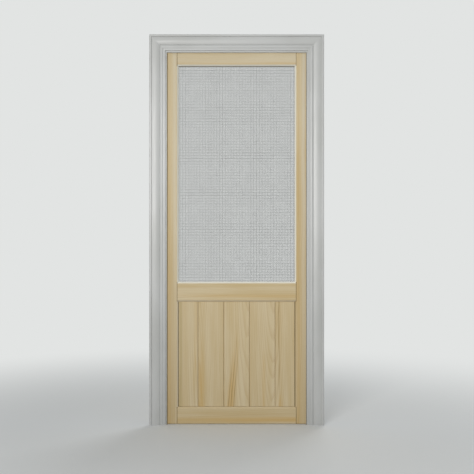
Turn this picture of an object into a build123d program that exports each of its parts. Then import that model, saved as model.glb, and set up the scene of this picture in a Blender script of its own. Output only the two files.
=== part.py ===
from build123d import *
import os

# Half-screen door in its frame: a pine leaf with an insect screen above and a boarded panel
# below, hinged behind the stops of a painted jamb that has a moulded casing on its front.
# X runs to the right, Y away from the viewer and Z up. The origin lies on the floor, in the
# middle of the width and of the jamb's depth. All sizes are in millimetres.

# Door leaf
leaf_width = 762.0
leaf_height = 2020.0
leaf_thickness = 28.6
stile_width = 64.0
top_rail_width = 73.0
mid_rail_width = 107.0
bottom_rail_width = 91.0
panel_opening_height = 573.0

# Bevelled edge round the front of both openings
moulding_width = 7.5
moulding_depth = 6.5

# Mortise and tenon joints
tenon_length = 42.0
tenon_thickness = 10.0
tenon_setback = 9.0
tenon_shoulder = 3.0
joint_vee = 1.8
mortise_relief = 0.8
glue_gap = 0.1

# Tongue and groove boards of the lower panel
board_count = 5
board_pitch = 140.0
board_thickness = 12.0
board_recess = 3.5
board_bevel = 3.0
board_gap = 1.0
board_tongue_thickness = 4.0
board_tongue_length = 6.0
panel_quirk = 2.0
panel_tongue_thickness = 5.0
panel_groove_depth = 9.0
panel_float = 0.9

# Insect screen, and the wooden beads that hold it from the back
screen_thickness = 0.8
screen_strand = 2.4
screen_columns = 7
screen_rows = 13
screen_trim = 0.5
rebate_width = 10.0
rebate_depth = 12.0
bead_round = 3.0
brad_size = 1.4
brad_length = 20.0
brads_per_bead = 3
brad_end_margin = 40.0

# Clearances round the closed leaf
side_gap = 3.0
top_gap = 3.0
floor_gap = 3.0
stop_gap = 1.5

# Jambs and stops
jamb_depth = 42.0
jamb_thickness = 17.5
housing_depth = 6.0
stop_thickness = 6.0
stop_setback = 1.0
stop_arris = 1.0
fixing_radius = 2.5
fixing_head_radius = 5.0
fixing_heights = (560.0, 1560.0)
corner_screw_spacing = 22.0
corner_screw_length = 45.0

# Moulded casing, named from its outer edge to the door
casing_width = 85.5
casing_thickness = 17.5
casing_reveal = 3.0
band_width = 12.5
band_round = 3.5
quirk_width = 3.0
quirk_depth = 1.2
field_edge_height = 13.0
field_crest_height = 14.2
field_crest_offset = 13.0
field_inner_height = 9.5
astragal_width = 15.0
astragal_edge_height = 7.4
astragal_height = 9.6
inner_flat_width = 9.5
inner_flat_height = 7.0
inner_arris = 1.5
relief_depth = 2.0
relief_margin = 16.0

# Flat-sided finishing nails of the casing and the stops
nail_size = 1.6
casing_nail_length = 32.0
casing_nail_margin = 90.0
casing_nails_per_side = 4
casing_nails_per_head = 3
stop_nail_length = 22.0
stop_nail_margin = 130.0
stop_nails_per_side = 4
stop_nails_per_head = 2

# Butt hinges, with the pin behind the leaf
hinge_height = 89.0
hinge_plate_thickness = 2.2
hinge_plate_reach = 22.0
hinge_bottom_height = 324.0
hinge_top_drop = 222.5
knuckle_count = 5
knuckle_radius = 5.0
knuckle_gap = 0.3
knuckle_standoff = 6.0
pin_radius = 3.0
pin_clearance = 0.05
pin_head_radius = 4.6
pin_head_height = 3.0
pin_head_taper = 1.4
pin_tip_height = 2.5
hinge_screw_radius = 2.1
hinge_screw_head_radius = 3.9
hinge_screw_margin = 14.0
hinge_screw_insets = (8.0, 14.0, 8.0)
leaf_screw_length = 25.0
frame_screw_length = 15.0
screw_clearance = 0.1
screw_sides = 6

# Places across the width, for the right-hand side
leaf_edge = leaf_width / 2
stile_inner = leaf_edge - stile_width
stile_shoulder = stile_inner + moulding_width
jamb_face = leaf_edge + side_gap
jamb_outer = jamb_face + jamb_thickness
stop_face = jamb_face - stop_thickness
casing_inner = jamb_face + casing_reveal
casing_outer = casing_inner + casing_width
screen_side = stile_inner + rebate_width

# Places through the depth
jamb_back = jamb_depth / 2
jamb_front = -jamb_depth / 2
leaf_back = jamb_back
leaf_front = leaf_back - leaf_thickness
leaf_middle = (leaf_front + leaf_back) / 2
stop_front = jamb_front + stop_setback
stop_back = leaf_front - stop_gap
stop_middle = (stop_front + stop_back) / 2
moulding_back = leaf_front + moulding_depth
tenon_front = leaf_front + tenon_setback
board_front = leaf_front + board_recess
board_back = board_front + board_thickness
panel_tongue_front = board_back - panel_tongue_thickness
rebate_front = leaf_back - rebate_depth
screen_back = rebate_front + screen_thickness
hinge_x = -(leaf_edge + jamb_face) / 2
hinge_y = leaf_back + knuckle_standoff

# Heights
leaf_bottom = floor_gap
leaf_top = leaf_bottom + leaf_height
bottom_rail_top = leaf_bottom + bottom_rail_width
mid_rail_bottom = bottom_rail_top + panel_opening_height
mid_rail_top = mid_rail_bottom + mid_rail_width
top_rail_bottom = leaf_top - top_rail_width
screen_low = mid_rail_top - rebate_width
screen_high = top_rail_bottom + rebate_width
head_underside = leaf_top + top_gap
head_top = head_underside + jamb_thickness
casing_inner_top = head_underside + casing_reveal
casing_top = casing_inner_top + casing_width
hinge_bottom = leaf_bottom + hinge_bottom_height
hinge_top = leaf_top - hinge_top_drop
hinge_heights = {"bottom": hinge_bottom, "middle": (hinge_bottom + hinge_top) / 2, "top": hinge_top}

# Each rail's front stops short of the stile, so that the joint shows as a narrow V
rail_front_end = stile_shoulder - joint_vee
vee_bottom = leaf_front + joint_vee * moulding_depth / moulding_width

# The tenons stay clear of the grooves and rebates in the rails' edges
tenon_margin = max(panel_groove_depth, rebate_width) + tenon_shoulder

LOW_CORNER = (Align.MIN, Align.MIN)
HUNG = (Align.CENTER, Align.CENTER, Align.MAX)


def block(x_span, y_span, z_span, mode=Mode.ADD):
    """Add or cut a box between two places along each axis."""
    spans = [sorted(span) for span in (x_span, y_span, z_span)]
    with Locations(tuple((low + high) / 2 for low, high in spans)):
        Box(*(high - low for low, high in spans), mode=mode)


def spread(low, high, count):
    """Places spaced evenly from low to high, both included."""
    step = (high - low) / (count - 1)
    return [low + step * index for index in range(count)]


def mitre_plane(x, z, side, level):
    """The plane of a mitre through an outer corner: uprights below it, crosspieces above it."""
    return Plane(origin=(x, 0, z), z_dir=(-side, 0, level))


def save(piece, name):
    """Label a finished piece and write it to its own file."""
    piece.part.label = name
    export_step(piece.part, f"parts/{name}.step")


# Fasteners. Each one hangs from a plane on the surface it is driven into, which looks outwards.


def plate_screws(x, outward, z_middle):
    """Screw places on one hinge plate, in a shallow zigzag."""
    reach = hinge_height / 2 - hinge_screw_margin
    return [
        Plane(origin=(x, leaf_back - inset, z_middle + offset), z_dir=(outward, 0, 0))
        for inset, offset in zip(hinge_screw_insets, (-reach, 0.0, reach))
    ]


def turned(rings):
    """A small turned shape with screw_sides facets, through rings of height and radius."""
    with BuildPart() as shape:
        for height, radius in rings:
            with BuildSketch(Plane.XY.offset(height)):
                RegularPolygon(radius, screw_sides)
        loft(ruled=True)
    return shape


def add_screws(planes, length, radius=hinge_screw_radius, head_radius=hinge_screw_head_radius):
    """Countersunk wood screws with a pointed end."""
    point = [(-length, radius / 4), (2 * radius - length, radius)]
    screw = turned([*point, (radius - head_radius, radius), (0, head_radius)])
    with Locations(*planes):
        add(screw)


def cut_screw_holes(planes, length, radius=hinge_screw_radius, head_radius=hinge_screw_head_radius):
    """Countersunk holes round the screws, with a little clearance."""
    shank, head = radius + screw_clearance, head_radius + screw_clearance
    hole = turned([(-length - screw_clearance, shank), (radius - head_radius, shank), (0, head)])
    with Locations(*planes):
        add(hole, mode=Mode.SUBTRACT)


def add_nails(planes, length, size=nail_size):
    """Headless nails cut from square wire, driven flush."""
    with Locations(*planes):
        Box(size, size, length, align=HUNG)


def cut_nail_holes(planes, length, size=nail_size):
    """Holes round the nails, with a little clearance."""
    with Locations(*planes):
        Box(size + 2 * glue_gap, size + 2 * glue_gap, length + glue_gap, align=HUNG, mode=Mode.SUBTRACT)


leaf_screws = {name: plate_screws(-leaf_edge, -1, z) for name, z in hinge_heights.items()}
frame_screws = {name: plate_screws(-jamb_face, 1, z) for name, z in hinge_heights.items()}
all_leaf_screws = sum(leaf_screws.values(), [])
all_frame_screws = sum(frame_screws.values(), [])

casing_nail_x = casing_inner + inner_flat_width / 2
casing_nail_y = jamb_front - inner_flat_height
casing_nails = {
    side: [
        Plane(origin=(side * casing_nail_x, casing_nail_y, z), z_dir=(0, -1, 0))
        for z in spread(casing_nail_margin, head_underside - casing_nail_margin, casing_nails_per_side)
    ]
    for side in (-1, 1)
}
casing_head_nails = [
    Plane(origin=(x, casing_nail_y, casing_inner_top + inner_flat_width / 2), z_dir=(0, -1, 0))
    for x in spread(casing_nail_margin - jamb_face, jamb_face - casing_nail_margin, casing_nails_per_head)
]
all_casing_nails = casing_nails[-1] + casing_nails[1] + casing_head_nails

stop_nails = {
    side: [
        Plane(origin=(side * stop_face, stop_middle, z), z_dir=(-side, 0, 0))
        for z in spread(stop_nail_margin, head_underside - stop_nail_margin, stop_nails_per_side)
    ]
    for side in (-1, 1)
}
stop_head_nails = [
    Plane(origin=(x, stop_middle, head_underside - stop_thickness), z_dir=(0, 0, -1))
    for x in spread(stop_nail_margin - jamb_face, jamb_face - stop_nail_margin, stop_nails_per_head)
]
all_stop_nails = stop_nails[-1] + stop_nails[1] + stop_head_nails

corner_screws = {
    side: [
        Plane(origin=(side * jamb_outer, y, head_underside + jamb_thickness / 2), z_dir=(side, 0, 0))
        for y in (-corner_screw_spacing / 2, corner_screw_spacing / 2)
    ]
    for side in (-1, 1)
}
all_corner_screws = corner_screws[-1] + corner_screws[1]

brad_heights = spread(screen_low + brad_end_margin, screen_high - brad_end_margin, brads_per_bead)
brad_places = spread(brad_end_margin - screen_side, screen_side - brad_end_margin, brads_per_bead)
upright_brads = {
    side: [
        Plane(origin=(side * (screen_side - rebate_width / 2), leaf_back, z), z_dir=(0, 1, 0))
        for z in brad_heights
    ]
    for side in (-1, 1)
}
cross_brads = {
    level: [Plane(origin=(x, leaf_back, z), z_dir=(0, 1, 0)) for x in brad_places]
    for level, z in ((-1, screen_low + rebate_width / 2), (1, screen_high - rebate_width / 2))
}
all_brads = upright_brads[-1] + upright_brads[1] + cross_brads[-1] + cross_brads[1]


# Door leaf: stiles and rails

tenon_spans = {
    "bottom": (leaf_bottom + tenon_margin, bottom_rail_top - tenon_margin),
    "mid": (mid_rail_bottom + tenon_margin, mid_rail_top - tenon_margin),
    "top": (top_rail_bottom + tenon_margin, leaf_top - tenon_margin),
}


def make_stile(side):
    """A stile with its bevelled inner edge, panel groove, screen rebate and mortises."""
    edge, inner = side * leaf_edge, side * stile_inner
    with BuildPart() as stile:
        with BuildSketch(Plane.XY.offset(leaf_bottom)):
            with BuildLine():
                Polyline(
                    (edge, leaf_front),
                    (side * stile_shoulder, leaf_front),
                    (inner, moulding_back),
                    (inner, leaf_back),
                    (edge, leaf_back),
                    close=True,
                )
            make_face()
        extrude(amount=leaf_height)
        block(
            (inner, inner + side * panel_groove_depth),
            (panel_tongue_front - glue_gap, board_back + glue_gap),
            (bottom_rail_top - panel_groove_depth, mid_rail_bottom + panel_groove_depth),
            mode=Mode.SUBTRACT,
        )
        block(
            (inner, side * screen_side),
            (rebate_front, leaf_back),
            (screen_low, screen_high),
            mode=Mode.SUBTRACT,
        )
        for low, high in tenon_spans.values():
            block(
                (inner, inner + side * (tenon_length + mortise_relief)),
                (tenon_front - glue_gap, tenon_front + tenon_thickness + glue_gap),
                (low - glue_gap, high + glue_gap),
                mode=Mode.SUBTRACT,
            )
        cut_nail_holes(upright_brads[side], brad_length, brad_size)
    return stile


def rail_front_edge(z, inward, bevelled):
    """Section points of one front edge of a rail, from its face to its edge."""
    if not bevelled:
        return [(leaf_front, z)]
    return [(leaf_front, z + inward * moulding_width), (moulding_back, z)]


def make_rail(low, high, tenon_span, bevel_below, bevel_above):
    """A rail with bevelled edges, shoulders coped to the stiles and a tenon at each end."""
    with BuildPart() as rail:
        with BuildSketch(Plane.YZ):
            with BuildLine():
                Polyline(
                    *reversed(rail_front_edge(low, 1, bevel_below)),
                    *rail_front_edge(high, -1, bevel_above),
                    (leaf_back, high),
                    (leaf_back, low),
                    close=True,
                )
            make_face()
        extrude(amount=stile_shoulder, both=True)
        for side in (-1, 1):
            with BuildSketch(Plane.XY.offset(low)):
                with BuildLine():
                    Polyline(
                        (side * stile_shoulder, leaf_front),
                        (side * rail_front_end, leaf_front),
                        (side * rail_front_end, vee_bottom),
                        (side * stile_inner, moulding_back),
                        (side * stile_inner, leaf_back),
                        (side * stile_shoulder, leaf_back),
                        close=True,
                    )
                make_face()
            extrude(amount=high - low, mode=Mode.SUBTRACT)
            block(
                (side * stile_inner, side * (stile_inner + tenon_length)),
                (tenon_front, tenon_front + tenon_thickness),
                tenon_span,
            )
    return rail


def cut_panel_groove(edge, depth):
    """Plough the groove for the boards' tongues into a rail's edge."""
    y_span = (panel_tongue_front - glue_gap, board_back + glue_gap)
    block((-stile_inner, stile_inner), y_span, (edge, edge + depth), mode=Mode.SUBTRACT)


def cut_screen_rebate(edge, depth):
    """Cut the rebate for the screen and its bead into the back of a rail's edge."""
    block((-stile_inner, stile_inner), (rebate_front, leaf_back), (edge, edge + depth), mode=Mode.SUBTRACT)


with BuildPart() as stile_hinge:
    add(make_stile(-1))
    for z_middle in hinge_heights.values():
        block(
            (-leaf_edge, hinge_plate_thickness - leaf_edge),
            (leaf_back - hinge_plate_reach, leaf_back),
            (z_middle - hinge_height / 2, z_middle + hinge_height / 2),
            mode=Mode.SUBTRACT,
        )
    cut_screw_holes(all_leaf_screws, leaf_screw_length)

with BuildPart() as stile_lock:
    add(make_stile(1))

with BuildPart() as top_rail:
    add(make_rail(top_rail_bottom, leaf_top, tenon_spans["top"], bevel_below=True, bevel_above=False))
    cut_screen_rebate(top_rail_bottom, rebate_width)
    cut_nail_holes(cross_brads[1], brad_length, brad_size)

with BuildPart() as mid_rail:
    add(make_rail(mid_rail_bottom, mid_rail_top, tenon_spans["mid"], bevel_below=True, bevel_above=True))
    cut_screen_rebate(mid_rail_top, -rebate_width)
    cut_panel_groove(mid_rail_bottom, panel_groove_depth)
    cut_nail_holes(cross_brads[-1], brad_length, brad_size)

with BuildPart() as bottom_rail:
    add(make_rail(leaf_bottom, bottom_rail_top, tenon_spans["bottom"], bevel_below=False, bevel_above=True))
    cut_panel_groove(bottom_rail_top, -panel_groove_depth)


# Door leaf: boards of the lower panel. They stand on the bottom rail's groove.

board_joints = [(index - board_count / 2) * board_pitch for index in range(1, board_count)]
board_low = bottom_rail_top - panel_groove_depth
board_high = mid_rail_bottom + panel_groove_depth - panel_float
board_tongue_front = (board_front + board_bevel + board_back - board_tongue_thickness) / 2
board_tongue_back = board_tongue_front + board_tongue_thickness


def outer_edge(side):
    """Section of a panel's outer edge: a shoulder, then a tongue for the stile's groove."""
    shoulder = side * (stile_inner - panel_quirk)
    tip = side * (stile_inner + panel_groove_depth - panel_float)
    return [
        (shoulder, board_front),
        (shoulder, panel_tongue_front),
        (tip, panel_tongue_front),
        (tip, board_back),
    ]


def grooved_edge(joint):
    """Section of a board's left edge: half of the V, half of the open joint, then the groove."""
    lip = joint + board_gap / 2
    inner = joint + board_tongue_length + panel_float
    return [
        (lip + board_bevel, board_front),
        (lip, board_front + board_bevel),
        (lip, board_tongue_front - glue_gap),
        (inner, board_tongue_front - glue_gap),
        (inner, board_tongue_back + glue_gap),
        (joint, board_tongue_back + glue_gap),
        (joint, board_back),
    ]


def tongued_edge(joint):
    """Section of a board's right edge: half of the V, half of the open joint, then the tongue."""
    lip = joint - board_gap / 2
    tip = joint + board_tongue_length
    return [
        (lip - board_bevel, board_front),
        (lip, board_front + board_bevel),
        (lip, board_tongue_front),
        (tip, board_tongue_front),
        (tip, board_tongue_back),
        (joint, board_tongue_back),
        (joint, board_back),
    ]


def make_board(index):
    """One board, counted from the hinge side, with rebated ends for the rails' grooves."""
    left = outer_edge(-1) if index == 0 else grooved_edge(board_joints[index - 1])
    right = outer_edge(1) if index == board_count - 1 else tongued_edge(board_joints[index])
    with BuildPart() as board:
        with BuildSketch(Plane.XY.offset(board_low)):
            with BuildLine():
                Polyline(*left, *reversed(right), close=True)
            make_face()
        extrude(amount=board_high - board_low)
        bottom_end = (board_low, bottom_rail_top + panel_quirk)
        top_end = (mid_rail_bottom - panel_quirk, board_high)
        for end in (bottom_end, top_end):
            block((-leaf_edge, leaf_edge), (board_front, panel_tongue_front), end, mode=Mode.SUBTRACT)
    return board


# Door leaf: insect screen and its beads

screen_pitch_x = 2 * stile_inner / screen_columns
screen_pitch_z = (top_rail_bottom - mid_rail_top) / screen_rows

with BuildPart() as insect_screen:
    with BuildSketch(Plane.XZ.offset(-screen_back)):
        with Locations((0, (screen_low + screen_high) / 2)):
            Rectangle(2 * (screen_side - screen_trim), screen_high - screen_low - 2 * screen_trim)
            with GridLocations(screen_pitch_x, screen_pitch_z, screen_columns, screen_rows):
                mesh_x, mesh_z = screen_pitch_x - screen_strand, screen_pitch_z - screen_strand
                Rectangle(mesh_x, mesh_z, mode=Mode.SUBTRACT)
    extrude(amount=screen_thickness)
    cut_nail_holes(all_brads, brad_length, brad_size)


def bead_section(plane):
    """The bead's section: square to the rebate, rounded towards the opening at the back."""
    with BuildSketch(plane) as section:
        Rectangle(rebate_width, leaf_back - screen_back, align=LOW_CORNER)
        fillet(section.vertices().sort_by(SortBy.DISTANCE)[-1], bead_round)
    return section.sketch


def make_upright_bead(side):
    """The bead along a stile, mitred at both ends."""
    corner = (side * screen_side, screen_back, screen_low)
    plane = Plane(origin=corner, x_dir=(-side, 0, 0), z_dir=(0, 0, -side))
    with BuildPart() as bead:
        extrude(bead_section(plane), amount=-side * (screen_high - screen_low))
        for level, z in ((-1, screen_low), (1, screen_high)):
            split(bisect_by=mitre_plane(side * screen_side, z, side, level), keep=Keep.BOTTOM)
        cut_nail_holes(upright_brads[side], brad_length, brad_size)
    return bead


def make_cross_bead(level):
    """The bead along the mid rail or the top rail, mitred at both ends."""
    z = screen_high if level > 0 else screen_low
    plane = Plane(origin=(0, screen_back, z), x_dir=(0, 0, -level), z_dir=(level, 0, 0))
    with BuildPart() as bead:
        extrude(bead_section(plane), amount=screen_side, both=True)
        for side in (-1, 1):
            split(bisect_by=mitre_plane(side * screen_side, z, side, level), keep=Keep.TOP)
        cut_nail_holes(cross_brads[level], brad_length, brad_size)
    return bead


with BuildPart() as bead_brads:
    add_nails(all_brads, brad_length, brad_size)


# Frame: jambs and stops


def make_side_jamb(side):
    """A side jamb, housed for the head and bored for every screw and nail that enters it."""
    face, inward = side * jamb_face, (-side, 0, 0)
    fixings = [Plane(origin=(face, leaf_middle, z), z_dir=inward) for z in fixing_heights]
    with BuildPart() as jamb:
        block((side * jamb_face, side * jamb_outer), (jamb_front, jamb_back), (0, head_top))
        block(
            (side * jamb_face, side * (jamb_face + housing_depth)),
            (jamb_front, jamb_back),
            (head_underside, head_top),
            mode=Mode.SUBTRACT,
        )
        with Locations(*fixings):
            CounterSinkHole(fixing_radius, fixing_head_radius, depth=jamb_thickness, counter_sink_angle=90)
        cut_screw_holes(corner_screws[side], corner_screw_length)
        cut_nail_holes(casing_nails[side], casing_nail_length)
        cut_nail_holes(stop_nails[side], stop_nail_length)
    return jamb


with BuildPart() as jamb_left:
    add(make_side_jamb(-1))
    for z_middle in hinge_heights.values():
        block(
            (-jamb_face - hinge_plate_thickness, -jamb_face),
            (leaf_back - hinge_plate_reach, jamb_back),
            (z_middle - hinge_height / 2, z_middle + hinge_height / 2),
            mode=Mode.SUBTRACT,
        )
    cut_screw_holes(all_frame_screws, frame_screw_length)

with BuildPart() as jamb_right:
    add(make_side_jamb(1))

with BuildPart() as jamb_head:
    head_end = jamb_face + housing_depth
    block((-head_end, head_end), (jamb_front, jamb_back), (head_underside, head_top))
    cut_screw_holes(all_corner_screws, corner_screw_length)
    cut_nail_holes(casing_head_nails, casing_nail_length)
    cut_nail_holes(stop_head_nails, stop_nail_length)


def make_side_stop(side):
    """A side stop that butts under the head stop, with its front arris eased."""
    with BuildPart() as stop:
        z_span = (0, head_underside - stop_thickness)
        block((side * stop_face, side * jamb_face), (stop_front, stop_back), z_span)
        front_edges = stop.edges().filter_by(Axis.Z).group_by(Axis.Y)[0]
        chamfer(front_edges.sort_by(Axis.X)[0 if side > 0 else -1], stop_arris)
        cut_nail_holes(stop_nails[side], stop_nail_length)
    return stop


with BuildPart() as stop_head:
    z_span = (head_underside - stop_thickness, head_underside)
    block((-jamb_face, jamb_face), (stop_front, stop_back), z_span)
    front_edges = stop_head.edges().filter_by(Axis.X).group_by(Axis.Y)[0]
    chamfer(front_edges.sort_by(Axis.Z)[0], stop_arris)
    cut_nail_holes(stop_head_nails, stop_nail_length)

with BuildPart() as jamb_screws:
    add_screws(all_corner_screws, corner_screw_length)

with BuildPart() as stop_nail_set:
    add_nails(all_stop_nails, stop_nail_length)


# Frame: moulded casing

field_start = band_width + quirk_width
field_end = casing_width - inner_flat_width - astragal_width - 2 * quirk_width
astragal_start = field_end + quirk_width
astragal_end = astragal_start + astragal_width
flat_start = astragal_end + quirk_width
outer_quirk_height = field_edge_height - quirk_depth
inner_quirk_height = inner_flat_height - quirk_depth


def casing_section(plane):
    """The casing's section: back band, curved field, astragal and inner flat, each past a quirk."""
    with BuildSketch(plane) as section:
        with BuildLine():
            Polyline(
                (0, casing_thickness - band_round),
                (0, 0),
                (relief_margin - relief_depth, 0),
                (relief_margin, relief_depth),
                (casing_width - relief_margin, relief_depth),
                (casing_width - relief_margin + relief_depth, 0),
                (casing_width, 0),
                (casing_width, inner_flat_height - inner_arris),
                (casing_width - inner_arris, inner_flat_height),
                (flat_start, inner_flat_height),
                (flat_start, inner_quirk_height),
                (astragal_end, inner_quirk_height),
                (astragal_end, astragal_edge_height),
            )
            ThreePointArc(
                (astragal_end, astragal_edge_height),
                ((astragal_start + astragal_end) / 2, astragal_height),
                (astragal_start, astragal_edge_height),
            )
            Polyline(
                (astragal_start, astragal_edge_height),
                (astragal_start, inner_quirk_height),
                (field_end, inner_quirk_height),
                (field_end, field_inner_height),
            )
            ThreePointArc(
                (field_end, field_inner_height),
                (field_start + field_crest_offset, field_crest_height),
                (field_start, field_edge_height),
            )
            Polyline(
                (field_start, field_edge_height),
                (field_start, outer_quirk_height),
                (band_width, outer_quirk_height),
                (band_width, casing_thickness - band_round),
            )
            RadiusArc(
                (band_width, casing_thickness - band_round),
                (band_width - band_round, casing_thickness),
                -band_round,
            )
            Line((band_width - band_round, casing_thickness), (band_round, casing_thickness))
            RadiusArc((band_round, casing_thickness), (0, casing_thickness - band_round), -band_round)
        make_face()
    return section.sketch


def make_side_casing(side):
    """A side casing, mitred at the top."""
    plane = Plane(origin=(side * casing_outer, jamb_front, 0), x_dir=(-side, 0, 0), z_dir=(0, 0, side))
    with BuildPart() as casing:
        extrude(casing_section(plane), amount=side * casing_top)
        split(bisect_by=mitre_plane(side * casing_outer, casing_top, side, 1), keep=Keep.BOTTOM)
        cut_nail_holes(casing_nails[side], casing_nail_length)
    return casing


with BuildPart() as casing_head:
    head_plane = Plane(origin=(0, jamb_front, casing_top), x_dir=(0, 0, -1), z_dir=(-1, 0, 0))
    extrude(casing_section(head_plane), amount=casing_outer, both=True)
    for side in (-1, 1):
        split(bisect_by=mitre_plane(side * casing_outer, casing_top, side, 1), keep=Keep.TOP)
    cut_nail_holes(casing_head_nails, casing_nail_length)

with BuildPart() as casing_nail_set:
    add_nails(all_casing_nails, casing_nail_length)


# Hinges

knuckle_height = (hinge_height - (knuckle_count - 1) * knuckle_gap) / knuckle_count


def add_hinge_plate(x_span, z_middle, first_knuckle, screws):
    """A hinge plate with every other knuckle, counted upwards from first_knuckle."""
    z_low, z_high = z_middle - hinge_height / 2, z_middle + hinge_height / 2
    with BuildPart() as plate:
        block(x_span, (leaf_back - hinge_plate_reach, leaf_back), (z_low, z_high))
        for index in range(first_knuckle, knuckle_count, 2):
            knuckle_low = z_low + index * (knuckle_height + knuckle_gap)
            knuckle_high = knuckle_low + knuckle_height
            block(x_span, (leaf_back, hinge_y), (knuckle_low, knuckle_high))
            with Locations((hinge_x, hinge_y, (knuckle_low + knuckle_high) / 2)):
                Cylinder(knuckle_radius, knuckle_height)
        with Locations((hinge_x, hinge_y, z_middle)):
            Cylinder(pin_radius + pin_clearance, hinge_height, mode=Mode.SUBTRACT)
        cut_screw_holes(screws, hinge_plate_thickness)
    add(plate)


with BuildPart() as hinge_frame_plates:
    for place, height in hinge_heights.items():
        add_hinge_plate((-jamb_face - hinge_plate_thickness, -jamb_face), height, 0, frame_screws[place])

with BuildPart() as hinge_leaf_plates:
    for place, height in hinge_heights.items():
        add_hinge_plate((-leaf_edge, hinge_plate_thickness - leaf_edge), height, 1, leaf_screws[place])

# The loose pins stand with their tapered heads on the top knuckles
with BuildPart() as hinge_pins:
    for height in hinge_heights.values():
        knuckle_top = height + hinge_height / 2
        with Locations((hinge_x, hinge_y, knuckle_top)):
            Cylinder(pin_radius, hinge_height + pin_tip_height, align=HUNG)
        with Locations((hinge_x, hinge_y, knuckle_top + pin_head_height)):
            Cone(pin_head_radius, pin_head_radius - pin_head_taper, pin_head_height, align=HUNG)

with BuildPart() as leaf_hinge_screws:
    add_screws(all_leaf_screws, leaf_screw_length)

with BuildPart() as frame_hinge_screws:
    add_screws(all_frame_screws, frame_screw_length)


# Every piece is written to a file of its own name

os.makedirs("parts", exist_ok=True)

save(stile_hinge, "stile_hinge")
save(stile_lock, "stile_lock")
save(top_rail, "top_rail")
save(mid_rail, "mid_rail")
save(bottom_rail, "bottom_rail")
for number in range(board_count):
    save(make_board(number), f"panel_board_{number + 1}")
save(insect_screen, "insect_screen")
save(make_upright_bead(-1), "screen_bead_left")
save(make_upright_bead(1), "screen_bead_right")
save(make_cross_bead(-1), "screen_bead_bottom")
save(make_cross_bead(1), "screen_bead_top")
save(bead_brads, "bead_brads")

save(jamb_left, "jamb_left")
save(jamb_right, "jamb_right")
save(jamb_head, "jamb_head")
save(jamb_screws, "jamb_screws")
save(make_side_stop(-1), "stop_left")
save(make_side_stop(1), "stop_right")
save(stop_head, "stop_head")
save(stop_nail_set, "stop_nails")
save(make_side_casing(-1), "casing_left")
save(make_side_casing(1), "casing_right")
save(casing_head, "casing_head")
save(casing_nail_set, "casing_nails")

save(hinge_frame_plates, "hinge_frame_plates")
save(hinge_leaf_plates, "hinge_leaf_plates")
save(hinge_pins, "hinge_pins")
save(leaf_hinge_screws, "leaf_hinge_screws")
save(frame_hinge_screws, "frame_hinge_screws")
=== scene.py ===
"""Looks of a pine half-screen door that hangs in a white moulded frame.

Lengths are in metres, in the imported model's own frame: X to the right, Y away from the viewer
through the doorway and Z up. Colours are written as they show on a screen, from 0 to 255.
"""

import logging
import math
from dataclasses import dataclass
from enum import Enum

import bmesh
import bpy
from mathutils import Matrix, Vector


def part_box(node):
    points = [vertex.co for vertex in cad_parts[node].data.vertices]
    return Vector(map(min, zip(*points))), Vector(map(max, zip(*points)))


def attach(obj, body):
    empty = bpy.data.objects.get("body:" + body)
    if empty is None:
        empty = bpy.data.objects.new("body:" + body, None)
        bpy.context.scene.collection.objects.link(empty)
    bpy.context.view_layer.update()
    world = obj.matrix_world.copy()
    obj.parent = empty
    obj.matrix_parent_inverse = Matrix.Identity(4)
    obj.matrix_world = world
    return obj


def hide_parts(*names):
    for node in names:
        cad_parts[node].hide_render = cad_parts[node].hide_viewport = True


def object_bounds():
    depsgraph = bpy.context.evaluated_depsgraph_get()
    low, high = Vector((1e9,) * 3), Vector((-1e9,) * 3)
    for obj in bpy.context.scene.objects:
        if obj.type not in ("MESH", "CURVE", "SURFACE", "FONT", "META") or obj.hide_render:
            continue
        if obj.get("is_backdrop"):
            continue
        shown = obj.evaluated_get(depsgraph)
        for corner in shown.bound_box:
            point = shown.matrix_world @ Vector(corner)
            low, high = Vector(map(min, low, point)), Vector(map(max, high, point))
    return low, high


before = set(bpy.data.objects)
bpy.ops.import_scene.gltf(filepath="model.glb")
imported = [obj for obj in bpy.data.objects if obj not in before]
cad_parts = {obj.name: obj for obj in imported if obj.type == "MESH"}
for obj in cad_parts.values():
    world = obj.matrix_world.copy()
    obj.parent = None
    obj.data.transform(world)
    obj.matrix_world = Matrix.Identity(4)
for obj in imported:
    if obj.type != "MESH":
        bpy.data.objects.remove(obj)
log = logging.getLogger("screen_door")

Colour = tuple[int, int, int]
Point = tuple[float, float, float]
Outline = tuple[tuple[float, float], ...]
Socket = bpy.types.NodeSocket
Value = float | Socket
Tint = Colour | Socket

DARK_LINE = (158, 126, 76)
SAPWOOD = (224, 218, 200)
CAMERA_SENSOR = 36.0


class Grain(Enum):
    """The way that a piece's grain or brush strokes run."""

    UPRIGHT = "upright"
    LEVEL = "level"


def shown(colour: Colour) -> tuple[float, float, float, float]:
    """Turn a colour as it shows on a screen into the linear one that a socket takes.

    Args:
        colour: red, green and blue, from 0 to 255.

    Returns:
        Linear red, green, blue and an alpha of 1.
    """
    linear = []
    for part in colour:
        level = part / 255.0
        linear.append(level / 12.92 if level <= 0.04045 else ((level + 0.055) / 1.055) ** 2.4)
    return (linear[0], linear[1], linear[2], 1.0)


def placed(name: str, data: bpy.types.ID) -> bpy.types.Object:
    """Put new data into the scene, at the origin.

    Args:
        name: the new object's name.
        data: its mesh, camera or lamp.

    Returns:
        The new object.
    """
    item = bpy.data.objects.new(name, data)
    bpy.context.collection.objects.link(item)
    return item


def evaluated(item: bpy.types.Object) -> bpy.types.Mesh:
    """Keep an object's shape as a plain mesh, with its modifiers applied.

    Args:
        item: the object, which stays as it is.

    Returns:
        The new mesh.
    """
    bpy.context.view_layer.update()
    done = item.evaluated_get(bpy.context.evaluated_depsgraph_get())
    return bpy.data.meshes.new_from_object(done)


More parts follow.
